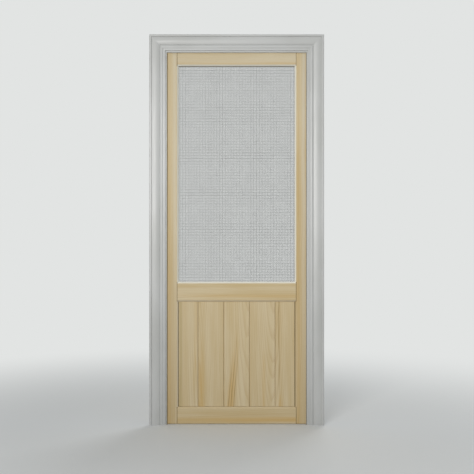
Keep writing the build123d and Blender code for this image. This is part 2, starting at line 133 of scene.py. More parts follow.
def closed_mesh(name: str, body: bmesh.types.BMesh) -> bpy.types.Mesh:
    """Turn a closed shape's faces outward and keep it as a mesh.

    Args:
        name: the mesh's name.
        body: the shape, which is freed.

    Returns:
        The new mesh.
    """
    bmesh.ops.recalc_face_normals(body, faces=body.faces)
    mesh = bpy.data.meshes.new(name)
    body.to_mesh(mesh)
    body.free()
    return mesh


class Tree:
    """A node tree, put together a node at a time."""

    def __init__(self, tree: bpy.types.NodeTree) -> None:
        """Take a tree and empty it.

        Args:
            tree: the tree to fill.
        """
        self.tree = tree
        self.tree.nodes.clear()

    def node(self, kind: str, inputs: dict | None = None, **settings: object) -> bpy.types.Node:
        """Add a node.

        Args:
            kind: the node's type.
            inputs: a value or a socket to link, for each input's name or number.
            **settings: the node's own properties.

        Returns:
            The new node.
        """
        node = self.tree.nodes.new(kind)
        for key, value in settings.items():
            setattr(node, key, value)
        for key, value in (inputs or {}).items():
            if isinstance(value, Socket):
                self.tree.links.new(value, node.inputs[key])
            else:
                node.inputs[key].default_value = value
        return node

    def maths(self, operation: str, *numbers: Value) -> Socket:
        """Combine numbers.

        Args:
            operation: the Math node's operation.
            *numbers: as many numbers as it takes.

        Returns:
            The result's socket.
        """
        inputs = dict(enumerate(numbers))
        return self.node("ShaderNodeMath", inputs, operation=operation).outputs[0]

    def product(self, first: Socket, *others: Value) -> Socket:
        """Multiply numbers.

        Args:
            first: the first number.
            *others: the numbers to multiply it by.

        Returns:
            The product's socket.
        """
        for other in others:
            first = self.maths("MULTIPLY", first, other)
        return first


class Recipe(Tree):
    """One material's node tree, with the place on its piece, seen along the grain."""

    SEED_STEP = (3.7, 1.9, 5.3)

    def __init__(
        self, name: str, centre: Point = (0.0, 0.0, 0.0), grain: Grain = Grain.UPRIGHT
    ) -> None:
        """Start a material and find the place across, through and along its piece.

        Args:
            name: the material's name.
            centre: the piece's middle, from which the place is measured.
            grain: the way that the piece's grain runs.
        """
        self.material = bpy.data.materials.new(name)
        self.material.use_nodes = True
        super().__init__(self.material.node_tree)
        here = self.node("ShaderNodeTexCoord").outputs["Object"]
        shift = {"Vector": here, "Location": tuple(-part for part in centre)}
        moved = self.node("ShaderNodeMapping", shift).outputs[0]
        x, self.depth, z = self.node("ShaderNodeSeparateXYZ", {0: moved}).outputs
        self.across, self.along = (x, z) if grain is Grain.UPRIGHT else (z, x)
        parts = {0: self.across, 1: self.depth, 2: self.along}
        self.vector = self.node("ShaderNodeCombineXYZ", parts).outputs[0]

    def spread(
        self, value: Socket, low: float, high: float, to_low: float = 0.0, to_high: float = 1.0
    ) -> Socket:
        """Map a range of a number to another one, smoothly and within its ends.

        Args:
            value: the number.
            low: the value that becomes to_low.
            high: the value that becomes to_high.
            to_low: the result at low and beyond it.
            to_high: the result at high and beyond it.

        Returns:
            The result's socket.
        """
        inputs = {0: value, "From Min": low, "From Max": high, "To Min": to_low, "To Max": to_high}
        return self.node("ShaderNodeMapRange", inputs, interpolation_type="SMOOTHSTEP").outputs[0]

    def noise(self, scale: Point, detail: float, seed: float) -> Socket:
        """Add a noise that is stretched along the grain.

        Args:
            scale: how many features there are in a metre, across, through and along it.
            detail: how many finer layers it has.
            seed: a number that gives another pattern.

        Returns:
            The noise's socket, from 0 to 1.
        """
        shift = tuple(seed * step for step in self.SEED_STEP)
        inputs = {"Vector": self.vector, "Scale": scale, "Location": shift}
        place = self.node("ShaderNodeMapping", inputs).outputs[0]
        inputs = {"Vector": place, "Scale": 1.0, "Detail": detail}
        return self.node("ShaderNodeTexNoise", inputs).outputs["Fac"]

    def blend(self, share: Value, first: Tint, second: Tint) -> Socket:
        """Mix two colours.

        Args:
            share: how much of the second one, from 0 to 1.
            first: the first colour or its socket.
            second: the second colour or its socket.

        Returns:
            The mixed colour's socket.
        """
        inputs = {0: share}
        for key, tint in ((6, first), (7, second)):
            inputs[key] = tint if isinstance(tint, Socket) else shown(tint)
        settings = {"data_type": "RGBA", "blend_type": "MIX", "clamp_result": True}
        return self.node("ShaderNodeMix", inputs, **settings).outputs[2]

    def surface(
        self, inputs: dict, height: Socket, strength: float, reach: float
    ) -> bpy.types.Material:
        """Finish the tree with a shader.

        Args:
            inputs: a value or a socket for each input of the shader.
            height: the bump's height, from 0 to 1.
            strength: the bump's strength.
            reach: the height that the bump stands for.

        Returns:
            The material.
        """
        bump = {"Height": height, "Strength": strength, "Distance": reach}
        normal = self.node("ShaderNodeBump", bump).outputs[0]
        shader = self.node("ShaderNodeBsdfPrincipled", {**inputs, "Normal": normal})
        self.node("ShaderNodeOutputMaterial", {"Surface": shader.outputs[0]})
        return self.material


@dataclass(frozen=True)
class Streak:
    """A resinous, pale or darker band along the grain, in the model's own coordinates; on the first
    board one is a painted shadow.

    Args:
        across: the band's middle across the grain, where it has its whole strength.
        half_width: half of its width.
        start: where along the grain it has no strength yet.
        full: where along the grain it has its whole strength.
        strength: how much of its colour it shows, from 0 to 1.
        lean: how far across it goes in a metre along the grain.
        shade: its colour.
    """

    across: float
    half_width: float
    start: float
    full: float
    strength: float = 0.6
    lean: float = 0.0
    shade: Colour = (210, 174, 106)


@dataclass(frozen=True)
class Bevel:
    """A bevel painted paler than the faces beside it, partly as fresh-cut wood and partly as a
    painted highlight, in the model's own coordinates.

    Args:
        shoulder: where it leaves the face, across the grain.
        edge: where it ends, across the grain.
        start: where along the grain it begins.
        amount: how much paler it is painted, from 0 to 1.
    """

    shoulder: float
    edge: float
    start: float = -1.0
    amount: float = 0.95


@dataclass(frozen=True)
class Seam:
    """A narrow dark line of painted shade in a joint, in the model's own coordinates.

    Args:
        place: its middle, across the grain.
        half_width: half of its width.
        start: where along the grain it begins.
        finish: where along the grain it ends.
        behind: True where the back shows it too.
    """

    place: float
    half_width: float
    start: float = -1.0
    finish: float = 3.0
    behind: bool = False


@dataclass
class PineFinish:
    """Bare planed pine, cut from a log whose rings show on every face.

    Args:
        node: the node that it is for.
        grain: the way that its grain runs.
        heart: the log's heart, across the piece and behind its middle.
        drift: how much nearer the heart comes in a metre along the grain.
        ring: the width of one year's growth.
        seed: a number that gives each piece its own pattern.
        lift: how much paler than usual the piece is, from -1 to 1.
        streaks: its resinous, pale or darker bands, and on the first board a painted shadow.
        bevels: its fresh-cut bevels.
        seams: its painted shade lines in the joints.
    """

    node: str
    grain: Grain
    heart: tuple[float, float]
    drift: float
    ring: float
    seed: float
    lift: float = 0.0
    streaks: tuple[Streak, ...] = ()
    bevels: tuple[Bevel, ...] = ()
    seams: tuple[Seam, ...] = ()

    # Pale and darker wood, latewood, the canals' dashes, the bevels' fresh wood with painted
    # highlight, and the painted shade in the joints.
    PALE = (224, 209, 174)
    TAN = (212, 192, 148)
    LATE = (186, 155, 104)
    DASH = (150, 118, 78)
    FRESH_AND_LIT = (247, 246, 234)
    JOINT_SHADE = (104, 80, 48)

    # Each noise's features in a metre, across, through and along the grain.
    SWAY = (5.0, 5.0, 1.1)
    RIPPLE = (45.0, 45.0, 5.0)
    BANDS = (26.0, 26.0, 0.9)
    PATCHES = (9.0, 9.0, 2.2)
    FIBRE = (900.0, 900.0, 16.0)
    CANALS = (620.0, 620.0, 42.0)

    # The rings: how far they sway and ripple, how uneven the years are, how dark each part of
    # a year is and how much of that shows.
    SWEEP = 0.05
    WOBBLE = 0.004
    UNEVEN_SCALE = 0.35
    UNEVEN_YEARS = 1.6
    EARLYWOOD = 0.1
    LATEWOOD = ((0.45, 0.12), (0.84, 1.0), (0.93, 0.85))
    CONTRAST = 0.3

    # The marks: how far back along Y the front's ones show, how far streaks bend, over what
    # length a mark's end fades, the share of a bevel that fades and of a seam that is full.
    TURN = 0.005
    BEND = 0.02
    FADE = 0.001
    BEVEL_FADE = 0.1
    SEAM_CORE = 0.6
    SEAM_STRENGTH = 0.95

    def __post_init__(self) -> None:
        """Start the material, and tell the piece's front from its back."""
        centre = middle(self.node)
        self.recipe = Recipe(f"pine_{self.node}", centre, self.grain)
        self.middle, self.start = centre[::2] if self.grain is Grain.UPRIGHT else centre[::-2]
        edge = self.TURN - centre[1]
        self.front = self.recipe.spread(self.recipe.depth, edge + self.FADE, edge - self.FADE)

    def rings(self) -> Socket:
        """Work out how far into a year's dark latewood each place is, from 0 to 1."""
        recipe, maths = self.recipe, self.recipe.maths
        sway = recipe.noise(self.SWAY, 2.0, self.seed + 1.0)
        ripple = recipe.noise(self.RIPPLE, 2.0, self.seed + 2.0)
        side = maths("MULTIPLY_ADD", sway, self.SWEEP, -self.heart[0] - self.SWEEP / 2)
        behind = maths("MULTIPLY_ADD", recipe.along, -self.drift, self.heart[1])
        wobble = maths("MULTIPLY", maths("SUBTRACT", ripple, 0.5), self.WOBBLE)
        first = maths("ADD", maths("ADD", recipe.across, side), wobble)
        second = maths("ADD", maths("SUBTRACT", behind, recipe.depth), wobble)
        squares = maths("ADD", maths("POWER", first, 2.0), maths("POWER", second, 2.0))
        years = maths("DIVIDE", maths("SQRT", squares), self.ring)
        slow = {"W": years, "Scale": self.UNEVEN_SCALE, "Detail": 1.0}
        uneven = recipe.node("ShaderNodeTexNoise", slow, noise_dimensions="1D").outputs["Fac"]
        year = maths("FRACT", maths("ADD", years, maths("MULTIPLY", uneven, self.UNEVEN_YEARS)))
        ramp = recipe.node("ShaderNodeValToRGB", {0: year})
        stops = ramp.color_ramp.elements
        for stop, position in zip(stops, (0.0, 1.0)):
            stop.position = position
            stop.color = (self.EARLYWOOD, self.EARLYWOOD, self.EARLYWOOD, 1.0)
        for position, level in self.LATEWOOD:
            stops.new(position).color = (level, level, level, 1.0)
        return ramp.outputs[0]

    def streaked(self, colour: Socket, late: Socket, sway: Socket) -> Socket:
        """Lay the bands over the wood's colour.

        Args:
            colour: the wood's colour so far.
            late: the latewood's share.
            sway: a slow noise that bends the bands.

        Returns:
            The colour with its bands.
        """
        maths, spread, along = self.recipe.maths, self.recipe.spread, self.recipe.along
        bend = maths("MULTIPLY", maths("SUBTRACT", sway, 0.5), self.BEND)
        bent = maths("ADD", self.recipe.across, bend)
        soaked = spread(late, 0.0, 1.0, 0.7, 1.0)
        for streak in self.streaks:
            full = streak.full - self.start
            lean = maths("MULTIPLY", maths("SUBTRACT", along, full), streak.lean)
            off = maths("SUBTRACT", maths("SUBTRACT", bent, lean), streak.across - self.middle)
            band = spread(maths("ABSOLUTE", off), streak.half_width, 0.0)
            reach = spread(along, streak.start - self.start, full)
            share = self.recipe.product(band, reach, streak.strength, soaked)
            colour = self.recipe.blend(share, colour, streak.shade)
        return colour

    def marked(self, colour: Socket) -> Socket:
        """Paint the bevels paler, as fresh wood and painted highlight, and paint shade into the
        joints.

        Args:
            colour: the wood's colour so far.

        Returns:
            The colour with its bevels and joints.
        """
        recipe, spread, along = self.recipe, self.recipe.spread, self.recipe.along
        # Paint the bevels paler: fresh-cut wood with a painted highlight.
        for bevel in self.bevels:
            foot = bevel.shoulder + self.BEVEL_FADE * (bevel.edge - bevel.shoulder)
            slope = spread(recipe.across, bevel.shoulder - self.middle, foot - self.middle)
            begin = bevel.start - self.start
            reach = spread(along, begin - 2 * self.FADE, begin, 0.0, bevel.amount)
            colour = recipe.blend(recipe.product(slope, reach, self.front), colour, self.FRESH_AND_LIT)
        # Paint shade into the joints as narrow dark lines.
        for seam in self.seams:
            begin, end = seam.start - self.start, seam.finish - self.start
            off = recipe.maths("SUBTRACT", recipe.across, seam.place - self.middle)
            off = recipe.maths("ABSOLUTE", off)
            core = seam.half_width * self.SEAM_CORE
            line = spread(off, seam.half_width, core, 0.0, self.SEAM_STRENGTH)
            after = spread(along, begin - self.FADE, begin)
            before = spread(along, end + self.FADE, end)
            seen = 1.0 if seam.behind else self.front
            colour = recipe.blend(recipe.product(line, seen, after, before), colour, self.JOINT_SHADE)
        return colour

    def build(self) -> bpy.types.Material:
        """Build the material.

        Returns:
            The pine's material.
        """
        recipe, maths = self.recipe, self.recipe.maths
        late = self.rings()
        bands = recipe.noise(self.BANDS, 3.0, self.seed + 3.0)
        patches = recipe.noise(self.PATCHES, 2.0, self.seed + 4.0)
        fibre = recipe.noise(self.FIBRE, 2.0, self.seed + 5.0)
        canals = recipe.noise(self.CANALS, 1.0, self.seed + 6.0)
        tone = maths("ADD", maths("MULTIPLY", bands, 0.6), maths("MULTIPLY", patches, 0.4))
        tone = recipe.spread(tone, 0.36 + 0.1 * self.lift, 0.64 + 0.1 * self.lift)
        colour = recipe.blend(tone, self.PALE, self.TAN)
        colour = recipe.blend(maths("MULTIPLY", late, self.CONTRAST), colour, self.LATE)
        colour = self.marked(self.streaked(colour, late, patches))
        colour = recipe.blend(recipe.spread(canals, 0.74, 0.8, 0.0, 0.45), colour, self.DASH)
        colour = recipe.blend(recipe.spread(fibre, 0.3, 0.7, 0.12, 0.0), colour, self.LATE)
        relief = maths("SUBTRACT", maths("MULTIPLY", fibre, 0.5), maths("MULTIPLY", late, 0.3))
        roughness = recipe.spread(late, 0.0, 1.0, 0.66, 0.54)
        inputs = {"Base Color": colour, "Roughness": roughness, "Specular IOR Level": 0.3}
        return recipe.surface(inputs, relief, 0.25, 0.0003)


@dataclass(frozen=True)
class PaintFinish:
    """Satin white paint, brushed along the piece.

    Args:
        name: the material's name.
        grain: the way that the brush went.
        white: the paint's colour.
        shade: its colour where the coat is thin.
        gap_shade: the colour of the painted shade along the gap beside the leaf.
        arris: how far from the door's middle the painted shade reaches, or 0 for none.
    """

    name: str
    grain: Grain = Grain.UPRIGHT
    white: Colour = (205, 207, 206)
    shade: Colour = (196, 198, 196)
    gap_shade: Colour = (98, 88, 70)
    arris: float = 0.0

    STROKES = (1100.0, 1100.0, 26.0)
    DRAG = (240.0, 240.0, 7.0)
    COAT = (7.0, 7.0, 2.5)
    GAP_SHADE_FADE = 0.0003
    GAP_SHADE_STRENGTH = 0.9

    def build(self) -> bpy.types.Material:
        """Build the material.

        Returns:
            The paint's material.
        """
        recipe = Recipe(self.name, grain=self.grain)
        maths = recipe.maths
        strokes = recipe.noise(self.STROKES, 2.0, 11.0)
        drag = recipe.noise(self.DRAG, 2.0, 12.0)
        coat = recipe.noise(self.COAT, 3.0, 13.0)
        colour = recipe.blend(recipe.spread(coat, 0.35, 0.65), self.white, self.shade)
        # Painted shade: a dark line along each stop's inner edge, where the gap beside the leaf
        # lies in shade.
        if self.arris:
            off = maths("ABSOLUTE", recipe.across)
            inner = self.arris - self.GAP_SHADE_FADE
            near = recipe.spread(off, self.arris, inner, 0.0, self.GAP_SHADE_STRENGTH)
            colour = recipe.blend(near, colour, self.gap_shade)
        relief = maths("ADD", maths("MULTIPLY", strokes, 0.4), maths("MULTIPLY", drag, 0.6))
        inputs = {"Base Color": colour, "Roughness": recipe.spread(drag, 0.3, 0.7, 0.34, 0.42)}
        return recipe.surface(inputs, relief, 0.12, 0.0003)


@dataclass(frozen=True)
class PlatedSteelFinish:
    """Zinc-plated steel with fine drag marks and a cloudy lustre.

    Args:
        name: the material's name.
        bright: the plating's colour.
        dull: its colour where it has clouded.
        roughness: its roughness where it is bright.
    """

    name: str
    bright: Colour = (196, 196, 192)
    dull: Colour = (164, 161, 152)
    roughness: float = 0.3

    CLOUDS = (160.0, 160.0, 120.0)
    DRAG = (2600.0, 2600.0, 120.0)

    def build(self) -> bpy.types.Material:
        """Build the material.

        Returns:
            The plating's material.
        """
        recipe = Recipe(self.name)
        clouds = recipe.noise(self.CLOUDS, 4.0, 21.0)
        drag = recipe.noise(self.DRAG, 1.0, 22.0)
        colour = recipe.blend(recipe.spread(clouds, 0.35, 0.68), self.bright, self.dull)
        roughness = recipe.spread(clouds, 0.3, 0.7, self.roughness, self.roughness + 0.2)
        inputs = {"Base Color": colour, "Metallic": 1.0, "Roughness": roughness}
        return recipe.surface(inputs, drag, 0.1, 0.0001)


@dataclass(frozen=True)
class WireFinish:
    """Coated grey strands of the screen cloth.

    Args:
        name: the material's name.
        coat: the coating's colour.
        worn: its colour where light has bleached it.
    """

    name: str
    coat: Colour = (92, 96, 94)
    worn: Colour = (112, 116, 113)

    BLEACH = (18.0, 18.0, 18.0)
    GRIT = (3000.0, 3000.0, 3000.0)

    def build(self) -> bpy.types.Material:
        """Build the material.

        Returns:
            The strands' material.
        """
        recipe = Recipe(self.name)
        bleach = recipe.noise(self.BLEACH, 3.0, 31.0)
        grit = recipe.noise(self.GRIT, 1.0, 32.0)
        colour = recipe.blend(recipe.spread(bleach, 0.35, 0.65), self.coat, self.worn)
        inputs = {"Base Color": colour, "Roughness": recipe.spread(grit, 0.3, 0.7, 0.42, 0.6)}
        return recipe.surface(inputs, grit, 0.1, 0.0001)


class Growth(Tree):
    """A Geometry Nodes tree that ends in plain, coloured faces, and the modifier that runs it."""

    def __init__(self, name: str, material: bpy.types.Material) -> None:
        """Start an empty tree.

        Args:
            name: the tree's name.
            material: what its faces are made of.
        """
        super().__init__(bpy.data.node_groups.new(name, "GeometryNodeTree"))
        for way in ("INPUT", "OUTPUT"):
            self.tree.interface.new_socket(
                name="Geometry", in_out=way, socket_type="NodeSocketGeometry"
            )
        self.material = material
        self.entry = self.node("NodeGroupInput")
        self.values: dict[str, object] = {}

    def input(self, name: str, kind: str, value: object) -> Socket:
        """Add a named input.

        Args:
            name: the input's name.
            kind: its socket type.
            value: what the modifier sets it to.

        Returns:
            The socket inside the tree.
        """
        socket = self.tree.interface.new_socket(name=name, in_out="INPUT", socket_type=kind)
        self.values[socket.identifier] = value
        return self.entry.outputs[name]

    def close(self, parts: list[Socket]) -> None:
        """Join the parts, realize their instances and give them the material.

        Args:
            parts: the geometry sockets to join.
        """
        join = self.node("GeometryNodeJoinGeometry")
        for part in parts:
            self.tree.links.new(part, join.inputs[0])
        real = self.node("GeometryNodeRealizeInstances", {0: join.outputs[0]}).outputs[0]
        dressed = self.node("GeometryNodeSetMaterial", {0: real, "Material": self.material})
        self.node("NodeGroupOutput", {0: dressed.outputs[0]})

    def grow(self, name: str, host: bpy.types.Mesh) -> bpy.types.Object:
        """Run the tree on a mesh and keep the result as a plain piece.

        Args:
            name: the new piece's name.
            host: the mesh that the tree starts from.

        Returns:
            The piece, with no modifier.
        """
        carrier = placed(f"{name}_host", host)
        modifier = carrier.modifiers.new("growth", "NODES")
        modifier.node_group = self.tree
        for identifier, value in self.values.items():
            modifier[identifier] = value
        mesh = evaluated(carrier)
        mesh.name = name
        bpy.data.objects.remove(carrier)
        return placed(name, mesh)


@dataclass
class ScreenCloth:
    """The insect screen: two crossing layers of fine strands, some of them heavier.

    Args:
        pitch: the distance between fine strands.
        strand: a fine strand's thickness.
        heavy_pitch: the distance between heavy strands.
        heavy_strand: a heavy strand's thickness.
        layer_gap: how far apart the two layers' middles are.
        sides: how many faces go round a strand.
    """

    pitch: float = 0.0014
    strand: float = 0.00028
    heavy_pitch: float = 0.0155
    heavy_strand: float = 0.0008
    layer_gap: float = 0.00028
    sides: int = 6

    def layer(
        self, growth: Growth, pitch: Socket, thickness: Socket, across: Socket, length: Socket,
        level: bool,
    ) -> Socket:
        """Lay one set of strands side by side.

        Args:
            growth: the tree in the making.
            pitch: the distance between strands.
            thickness: how thick each one is.
            across: the width that the set fills.
            length: how long each one is.
            level: True for strands along X, False for upright ones.

        Returns:
            The layer's geometry.
        """
        maths = growth.maths
        axis, side, turn = (2, 0.5, math.pi / 2) if level else (0, -0.5, 0.0)
        inputs = {"Vertices": self.sides, "Radius": maths("MULTIPLY", thickness, 0.5)}
        strand = growth.node("GeometryNodeMeshCylinder", {**inputs, "Depth": length})
        gaps = maths("FLOOR", maths("DIVIDE", maths("SUBTRACT", across, thickness), pitch))
        first = maths("MULTIPLY", maths("MULTIPLY", gaps, -0.5), pitch)
        start = growth.node("ShaderNodeCombineXYZ", {axis: first, 1: side * self.layer_gap})
        step = growth.node("ShaderNodeCombineXYZ", {axis: pitch})
        row = {"Count": maths("ADD", gaps, 1.0), "Start Location": start.outputs[0]}
        line = growth.node("GeometryNodeMeshLine", {**row, "Offset": step.outputs[0]})
        copies = {"Points": line.outputs[0], "Instance": strand.outputs[0]}
        copies["Rotation"] = (0.0, turn, 0.0)
        return growth.node("GeometryNodeInstanceOnPoints", copies).outputs[0]

    def build(self) -> bpy.types.Object:
        """Make the cloth where the model's screen is.

        Returns:
            The cloth, which stands for the node and rides on the leaf.
        """
        low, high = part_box("insect_screen")
        growth = Growth("screen_weave", WireFinish("screen_strands").build())
        width = growth.input("Width", "NodeSocketFloat", high.x - low.x)
        height = growth.input("Height", "NodeSocketFloat", high.z - low.z)
        layers = []
        for kind, pitch, strand in (
            ("Fine", self.pitch, self.strand),
            ("Heavy", self.heavy_pitch, self.heavy_strand),
        ):
            gap = growth.input(f"{kind} Pitch", "NodeSocketFloat", pitch)
            thick = growth.input(f"{kind} Strand", "NodeSocketFloat", strand)
            for across, length, level in ((width, height, False), (height, width, True)):
                flat = self.layer(growth, gap, thick, across, length, level)
                shift = {"Geometry": flat, "Translation": tuple((low + high) / 2)}
                layers.append(growth.node("GeometryNodeTransform", shift).outputs[0])
        growth.close(layers)
        cloth = growth.grow("screen_cloth", bpy.data.meshes.new("screen_host"))
        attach(cloth, "leaf")
        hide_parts("insect_screen")
        return cloth


@dataclass
class TurnedShape:
    """A small turned thing, such as a pin or a screw, made round the Z axis.

    Args:
        name: the shape's name.
        outline: its outline from the top down, as radius and height.
        recess: half the width of the cross recess in its top, or 0 for none.
        sides: how many faces go round it.
    """

    name: str
    outline: Outline
    recess: float = 0.0
    sides: int = 24

    # The recess, as shares of its half width, and how far its cutter stands above the top.
    ARM = 0.3
    DEPTH = 0.75
    TAPER = 0.6
    PROUD = 0.0005

    def cutter(self) -> bpy.types.Object:
        """Make the cross-shaped body that cuts the recess, narrower at its foot."""
        body = bmesh.new()
        arm, thick, deep = self.recess, self.recess * self.ARM, self.recess * self.DEPTH
        half = [(arm, thick), (thick, thick), (thick, arm), (-thick, arm), (-thick, thick)]
        half.append((-arm, thick))
        ring = half + [(-x, -y) for x, y in half]
        top = [body.verts.new((x, y, self.PROUD)) for x, y in ring]
        foot = [body.verts.new((x * self.TAPER, y * self.TAPER, -deep)) for x, y in ring]
        body.faces.new(top)
        body.faces.new(list(reversed(foot)))
        for index in range(len(ring)):
            after = (index + 1) % len(ring)
            body.faces.new((top[after], top[index], foot[index], foot[after]))
        mesh = closed_mesh(f"{self.name}_cutter", body)
        return placed(mesh.name, mesh)

    def build(self) -> bpy.types.Object:
        """Turn the outline, and cut its recess.

        Returns:
            A pattern object, to be removed once its copies are made.
        """
        body = bmesh.new()
        turns = [2 * math.pi * index / self.sides for index in range(self.sides)]
        rings = []
        for radius, height in self.outline:
            around = turns if radius else turns[:1]
            places = [(radius * math.cos(turn), radius * math.sin(turn), height) for turn in around]
            rings.append([body.verts.new(place) for place in places])
        for upper, lower in zip(rings, rings[1:]):
            for index in range(self.sides):
                after = (index + 1) % self.sides
                corners = [upper[index % len(upper)], lower[index % len(lower)]]
                corners += [lower[after % len(lower)], upper[after % len(upper)]]
                body.faces.new(list(dict.fromkeys(corners)))
        pattern = placed(self.name, closed_mesh(self.name, body))
        if self.recess:
            cutter = self.cutter()
            cut = pattern.modifiers.new("recess", "BOOLEAN")
            cut.operation = "DIFFERENCE"
            cut.object = cutter
            carved = evaluated(pattern)
            pattern.modifiers.clear()
            pattern.data = carved
            bpy.data.objects.remove(cutter)
        return pattern


@dataclass
class TurnedSet:
    """Copies of one turned shape, each with its top on a given spot.

    Args:
        name: the piece's name.
        node: the node of the model that it stands for.
        body: the body that it rides on.
        shape: what is copied.
        spots: where the tops are.
        outward: where each top looks.
        seed: what the copies' turns come from.
        slot: not used.
    """

    name: str
    node: str
    body: str
    shape: TurnedShape
    spots: list[Point]
    outward: list[Point]
    seed: int
    slot: str = "zinc_steel"

    # From which angle an edge looks sharp.
    CREASE = math.radians(38)

    def build(self, material: bpy.types.Material) -> bpy.types.Object:
        """Set a copy on every spot, each turned its own way about its axis.

        Args:
            material: what the copies are made of.

        Returns:
            The piece, which stands for its node.
        """
        pattern = self.shape.build()
        host = bpy.data.meshes.new(f"{self.name}_spots")
        host.from_pydata(self.spots, [], [])
        looks = host.attributes.new("outward", "FLOAT_VECTOR", "POINT")
        for index, way in enumerate(self.outward):
            looks.data[index].vector = way
        growth = Growth(f"{self.name}_growth", material)
        source = growth.input("Pattern", "NodeSocketObject", pattern)
        seed = growth.input("Seed", "NodeSocketInt", self.seed)
        geometry = growth.node("GeometryNodeObjectInfo", {"Object": source}).outputs["Geometry"]
        look = growth.node(
            "GeometryNodeInputNamedAttribute", {"Name": "outward"}, data_type="FLOAT_VECTOR"
        )
        chance = {2: 0.0, 3: 2 * math.pi, "Seed": seed}
        turn = growth.node("FunctionNodeRandomValue", chance, data_type="FLOAT").outputs[1]
        about = {"Axis": (0.0, 0.0, 1.0), "Angle": turn}
        spin = growth.node("FunctionNodeAxisAngleToRotation", about).outputs[0]
        facing = {"Rotation": spin, "Vector": look.outputs[0]}
        faced = growth.node("FunctionNodeAlignRotationToVector", facing, axis="Z").outputs[0]
        copies = {"Points": growth.entry.outputs[0], "Instance": geometry, "Rotation": faced}
        growth.close([growth.node("GeometryNodeInstanceOnPoints", copies).outputs[0]])
        piece = growth.grow(self.name, host)
        bpy.data.objects.remove(pattern)
        piece.data.shade_smooth()
        piece.data.set_sharp_from_angle(angle=self.CREASE)
        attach(piece, self.body)
        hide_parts(self.node)
        log.info("set %s with %d faces", piece.name, len(piece.data.polygons))
        return piece


def dress(node: str, material: bpy.types.Material) -> None:
    """Give a node of the model its material.

    Args:
        node: the node's name.
        material: what it is made of.
    """
    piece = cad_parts[node]
    piece.data.materials.clear()
    piece.data.materials.append(material)


def middle(node: str) -> Point:
    """Find the middle of a node of the model.

    Args:
        node: the node's name.

    Returns:
        The middle of its box.
    """
    low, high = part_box(node)
    return tuple((low + high) / 2)


# Each streak: across, half width, start, full, strength, lean and shade.
STREAKS: dict[str, tuple[Streak, ...]] = {
    "stile_hinge": (
        Streak(-0.368, 0.018, 2.9, -0.9, 0.7),
        # Darker over the whole stile towards its foot.
        Streak(-0.352, 0.06, 1.3, 0.0, 0.5, 0.0, (188, 162, 112)),
        Streak(-0.336, 0.018, 0.5, 1.1, 0.55, 0.0, SAPWOOD),
    ),
    "stile_lock": (
        Streak(0.335, 0.016, 2.9, 0.2, 0.6),
        # Darker over the whole stile below its middle.
        Streak(0.35, 0.06, 1.7, 1.15, 0.5, 0.0, (192, 166, 114)),
        Streak(0.366, 0.02, -0.4, 2.0, 0.8, 0.0, SAPWOOD),
    ),
    "top_rail": (
        Streak(1.99, 0.05, -3.0, -2.0, 0.45, 0.0, SAPWOOD),
        Streak(1.961, 0.012, -0.6, 0.2, 0.4),
        Streak(1.998, 0.008, 0.1, -0.3, 0.15),
    ),
    "mid_rail": (Streak(0.697, 0.016, -0.5, 0.0, 0.4), Streak(0.672, 0.01, -0.4, 0.3, 0.2)),
    "bottom_rail": (Streak(0.026, 0.022, -0.7, 0.2, 0.75), Streak(0.02, 0.01, -0.1, 0.3, 0.35)),
    "panel_board_1": (
        # Painted shadow of the hinge stile on the board's left strip.
        Streak(-0.307, 0.018, 1.6, 0.6, 1.0, 0.0, (192, 173, 127)),
        Streak(-0.225, 0.012, 0.2, 0.36, 0.3),
    ),
    "panel_board_2": (Streak(-0.191, 0.027, 0.55, 0.16, 0.6),),
    "panel_board_3": (
        Streak(-0.03, 0.03, 0.6, 0.14, 0.75, 0.083),
        Streak(-0.041, 0.0036, 0.42, 0.14, 0.9, 0.083, DARK_LINE),
        Streak(-0.028, 0.0036, 0.62, 0.14, 0.9, 0.083, DARK_LINE),
        Streak(-0.014, 0.0036, 0.5, 0.14, 0.8, 0.075, DARK_LINE),
    ),
    "panel_board_4": (Streak(0.147, 0.016, 0.44, 0.3, 0.35),),
    "panel_board_5": (
        Streak(0.237, 0.022, 0.2, 0.1, 0.6),
        Streak(0.2305, 0.005, 0.1, 0.3, 0.7, 0.0, DARK_LINE),
    ),
}


